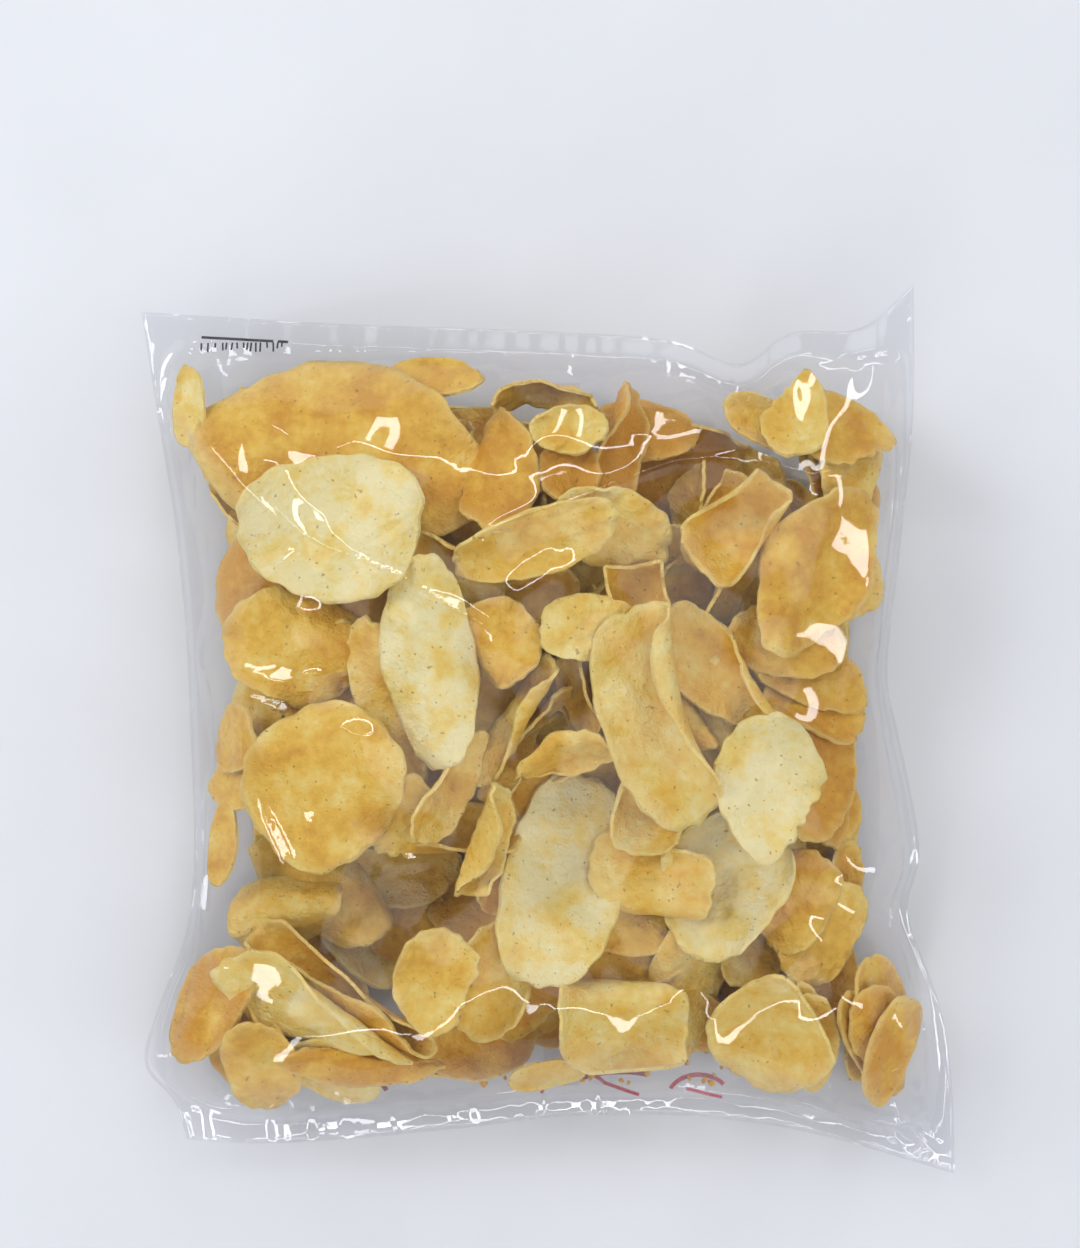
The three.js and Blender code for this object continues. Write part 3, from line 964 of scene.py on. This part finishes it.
def add_strip(bm, line, width, upper, raise_by):
    """Adds a strip that runs along a line over the film. The line is a function of a share, 0 to 1."""
    steps = 12
    made = bmesh.ops.create_grid(bm, x_segments=steps, y_segments=1, size=0.5)["verts"]
    for vertex in made:
        share = vertex.co.x + 0.5
        here, ahead = np.array(line(share)), np.array(line(share + 0.01))
        along = (ahead - here) / np.hypot(*(ahead - here))
        x, y = here + vertex.co.y * width * np.array((-along[1], along[0]))
        vertex.co = Vector((x, y, film_height(x, y, upper) + raise_by)) * MM
    faces = {face for vertex in made for face in vertex.link_faces}
    bmesh.ops.solidify(bm, geom=list(faces), thickness=INK * MM)


def straight(start, end):
    """A line between two places, as a function of a share of the way."""
    start, end = np.array(start, float), np.array(end, float)
    return lambda share: start + (end - start) * share


def arc(middle, radius, first, last):
    """Part of a circle, or of an ellipse if radius has two numbers, between two directions in degrees."""
    return lambda share: np.array(middle) + np.array(radius) * [
        f(math.radians(first + (last - first) * share)) for f in (math.cos, math.sin)]


def finished_strips(bm, name, material):
    """Turns strips into a piece."""
    bmesh.ops.recalc_face_normals(bm, faces=bm.faces)
    return new_piece(name, mesh_from(bm, name), material)


# %% [markdown]
# ## The ink
#
# Solvent ink on plastic is thin, matt and a little worn. The date's strokes are drawn at random
# heights, so that they say nothing, and the pink ones are pieces of arcs and short bars.

# %% Print the date and the pink strokes
def printed_ink(name, colour):
    """Matt ink on film, worn thin in small spots."""
    material, output = new_material(name)
    tree = material.node_tree
    place = add(tree, "ShaderNodeTexCoord").outputs["Object"]
    wear = add(tree, NOISE, inputs={"Vector": place, "Scale": 1 / (0.8 * MM), "Detail": 2.0})
    shade = add(tree, RAMP, inputs={"Fac": wear.outputs[0]}, stops=colour)
    ink = add(tree, "ShaderNodeBsdfPrincipled", inputs={"Base Color": shade.outputs[0], "Roughness": 0.5})
    tree.links.new(ink.outputs[0], output.inputs["Surface"])
    return material


DATE_START, DATE_END = (-117, 133.6), (-87.5, 131.6)
date_lines = [(straight(DATE_START, (-92.5, 131.9)), 0.9), (straight((-91, 131.8), DATE_END), 0.9)]
rng = random.Random(5)
x, top = DATE_START[0], DATE_END[1]
while x < DATE_END[0]:
    tall = rng.uniform(1.6, 3.4)
    date_lines.append((straight((x, top), (x + rng.uniform(-0.3, 0.3), top - tall)), 0.6))
    x += rng.uniform(1.2, 2.6)
date_bm = bmesh.new()
for line, width in date_lines:
    add_strip(date_bm, line, width, True, 0.3)
date_strip = finished_strips(date_bm, "date_strip", printed_ink(
    "black_date_ink", [(0.35, "#2E2C34"), (0.7, "#4A4852")]))

PINK_STROKES = [
    (arc((2, -124), (18, 11), 150, 60), 1.6),
    (arc((9, -122), (12, 8), 170, 40), 1.1),
    (arc((24, -127), (26, 13), 120, 70), 1.4),
    (straight((18, -117), (30, -121)), 1.1),
    (arc((50, -121), (10, 6), 160, 30), 1.3),
    (straight((46, -119), (58, -122)), 1.0),
    (arc((-64, -122), (9, 5), 165, 15), 1.5),
    (straight((-70, -119), (-58, -121)), 1.0),
]
pink_bm = bmesh.new()
for line, width in PINK_STROKES:
    add_strip(pink_bm, line, width, False, 0.4)
pink_print = finished_strips(pink_bm, "pink_print", printed_ink(
    "pink_pack_ink", [(0.35, "#C65A70"), (0.7, "#D88294")]))
print("print:", len(date_strip.data.polygons) + len(pink_print.data.polygons), "faces")

# %% [markdown]
# ## The back seam
#
# The tube is closed down its back by a seam, folded flat. It shows from below and through the film.

# %% Lay the seam along the lower sheet
SEAM_WIDTH = 12  # mm
seam_bm = bmesh.new()
add_strip(seam_bm, straight((4, -118), (4, 118)), SEAM_WIDTH, False, 0.2)
back_seam = finished_strips(seam_bm, "back_seam", film.data.materials[0])

# %% [markdown]
# ## Crumbs
#
# Bits of broken crisp slide to the bottom seal. Each is a small, flattened, uneven lump, and lies
# only where the two sheets leave it room.

# %% Scatter the crumbs
rng = random.Random(11)
crumb_bm = bmesh.new()
for _ in range(90):
    x, y = rng.uniform(-104, 104), -118 + abs(rng.gauss(0, 7))
    size = rng.uniform(0.5, 1.7)
    low, high = film_height(x, y, False), film_height(x, y, True)
    if high - low < 3 * size + 1:
        continue
    made = bmesh.ops.create_icosphere(crumb_bm, subdivisions=1, radius=size * MM)["verts"]
    stretch = (rng.uniform(0.7, 1.5), rng.uniform(0.6, 1.1), 0.6)
    bmesh.ops.scale(crumb_bm, vec=stretch, verts=made)
    bmesh.ops.rotate(crumb_bm, matrix=Matrix.Rotation(rng.uniform(0, 6), 3, "Z"), verts=made)
    for vertex in made:
        vertex.co *= rng.uniform(0.8, 1.25)
    bmesh.ops.translate(crumb_bm, vec=Vector((x, y, low + 0.9 * size + 0.3)) * MM, verts=made)
for number, name in enumerate(FINISH_NUMBERS):
    layer = crumb_bm.verts.layers.float.new(name)
    for vertex in crumb_bm.verts:
        vertex[layer] = (0.2, 0.5, 0.0)[number]
crumbs = new_piece("crumbs", mesh_from(crumb_bm, "crumbs"), fried_potato("fried_potato_crumbs"))
print("crumbs:", len(crumbs.data.polygons), "faces")

# %% [markdown]
# ## The table and the light
#
# A pale matt table top, a square window on the upper left and two thin strips of light. Round them
# is a white room. The film mirrors the lit part of its ceiling as a grey veil, and the windows in
# its walls as white streaks along the creases.

# %% Table
TABLE_SIZE = 4.0  # metres


def pale_table():
    """A matt, nearly white board with a faint cloudiness."""
    material, output = new_material("pale_matt_table")
    tree = material.node_tree
    place = add(tree, "ShaderNodeTexCoord").outputs["Object"]
    cloud = add(tree, NOISE, inputs={"Vector": place, "Scale": 1 / (90 * MM), "Detail": 3.0})
    colour = add(tree, RAMP, inputs={"Fac": cloud.outputs[0]}, stops=[(0.3, "#E4E6E9"), (0.7, "#E8EAED")])
    top = add(tree, "ShaderNodeBsdfPrincipled", inputs={"Base Color": colour.outputs[0], "Roughness": 0.7})
    tree.links.new(top.outputs[0], output.inputs["Surface"])
    return material


table_bm = bmesh.new()
bmesh.ops.create_grid(table_bm, x_segments=4, y_segments=4, size=TABLE_SIZE / 2,
                      matrix=Matrix.Translation((0, 0, -0.1 * MM)))
table = new_piece("table", mesh_from(table_bm, "table"), pale_table())

# %% Light
class Window(NamedTuple):
    name: str
    compass: float  # degrees from +X, seen from above
    height: float  # degrees above the table
    size: tuple  # metres
    power: float  # watts


WINDOWS = [
    Window("window", 147, 38, (0.44, 0.44), 6.5),
    Window("strip_far", 75, 50, (2.0, 0.05), 4.0),
    Window("strip_near", 285, 50, (1.2, 0.05), 2.4),
]
DISTANCE = 1.7  # metres from the bag

for window in WINDOWS:
    light = bpy.data.lights.new(window.name, "AREA")
    light.shape = "RECTANGLE"
    light.size, light.size_y = window.size
    light.energy = window.power
    light.color = linear("#FAFBFF")[:3]
    lamp = bpy.data.objects.new(window.name, light)
    bpy.context.scene.collection.objects.link(lamp)
    compass, height = math.radians(window.compass), math.radians(window.height)
    lamp.location = Vector((math.cos(compass) * math.cos(height), math.sin(compass) * math.cos(height),
                            math.sin(height))) * DISTANCE
    lamp.rotation_euler = (-lamp.location).to_track_quat("-Z", "Y").to_euler()

BRIGHT_PATCH = Vector((0.16, -0.06, 1)).normalized()  # the part of the ceiling that is lit
SKY_STRENGTH = 1.4
WALL_WINDOWS = 8.0  # times the bright patch


def studio_sky():
    """A white room: a bright patch in the ceiling, and a tall window in the middle of each wall."""
    world = bpy.data.worlds.new("studio")
    bpy.context.scene.world = world
    world.use_nodes = True
    tree = world.node_tree
    towards = add(tree, "ShaderNodeTexCoord").outputs["Generated"]
    patch = add(tree, "ShaderNodeVectorMath", {"operation": "DOT_PRODUCT"}, {0: towards, 1: BRIGHT_PATCH})
    strength = add(tree, RAMP, inputs={"Fac": patch.outputs["Value"]}, stops=[
        (0.0, 0.20), (0.91, 0.23), (0.94, 0.9), (0.96, 1.0)])
    parts = add(tree, "ShaderNodeSeparateXYZ", inputs={"Vector": towards})
    compass = add(tree, MATHS, {"operation": "ARCTAN2"}, {0: parts.outputs["Y"], 1: parts.outputs["X"]})
    compass = add(tree, MATHS, {"operation": "MULTIPLY_ADD"}, {0: compass.outputs[0], 1: 4.0, 2: 2.62})
    panes = add(tree, MATHS, {"operation": "SINE"}, {0: compass.outputs[0]})
    panes = add(tree, RAMP, inputs={"Fac": panes.outputs[0]}, stops=[(0.98, 0.0), (0.985, 1.0)])
    band = add(tree, RAMP, inputs={"Fac": parts.outputs["Z"]}, stops=[
        (0.06, 0.0), (0.08, 1.0), (0.70, 1.0), (0.72, 0.0)])
    walls = add(tree, MATHS, {"operation": "MULTIPLY"}, {0: panes.outputs[0], 1: band.outputs[0]})
    strength = add(tree, MATHS, {"operation": "MULTIPLY_ADD"}, {
        0: walls.outputs[0], 1: WALL_WINDOWS, 2: strength.outputs[0]})
    strength = add(tree, MATHS, {"operation": "MULTIPLY"}, {0: strength.outputs[0], 1: SKY_STRENGTH})
    sky = tree.nodes["Background"]
    sky.inputs["Color"].default_value = linear("#F3F5FA")
    tree.links.new(strength.outputs[0], sky.inputs["Strength"])


studio_sky()

# %% [markdown]
# ## The camera
#
# It looks straight down from about a metre, with a long lens, and its up side is the top seal.

# %% Camera
SENSOR = 36.0  # mm, along the frame's longer side
VIEW_LENGTH = 412.0  # mm of table seen along the longer side
CAMERA_HEIGHT = 0.95
FOCUS_HEIGHT = 0.035

camera_data = bpy.data.cameras.new("camera")
camera_data.sensor_fit = "VERTICAL"
camera_data.sensor_height = SENSOR
camera_data.lens = SENSOR * (CAMERA_HEIGHT - FOCUS_HEIGHT) / (VIEW_LENGTH * MM)
camera = bpy.data.objects.new("camera", camera_data)
bpy.context.scene.collection.objects.link(camera)
camera.location = (-3.3 * MM, 37.3 * MM, CAMERA_HEIGHT)
bpy.context.scene.camera = camera
bpy.context.scene.view_settings.view_transform = "Standard"

# Light goes through the film freely, but after few turns among the crisps it no longer matters.
paths = bpy.context.scene.cycles
paths.max_bounces = 4
paths.diffuse_bounces = 2
paths.glossy_bounces = 2
paths.transmission_bounces = 2
paths.transparent_max_bounces = 8
paths.caustics_reflective = False
paths.caustics_refractive = False

# %% [markdown]
# ## Hand over
#
# Every piece rides on the bag's one body, and the film stands for the CAD solid.

# %% Attach every piece to the bag's body and hide the CAD solid
for piece in crisp_pieces + [crumbs]:
    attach(piece, "root")
for piece in (film, back_seam):
    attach(piece, "root")
for piece in (date_strip, pink_print):
    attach(piece, "root")
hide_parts(BAG)
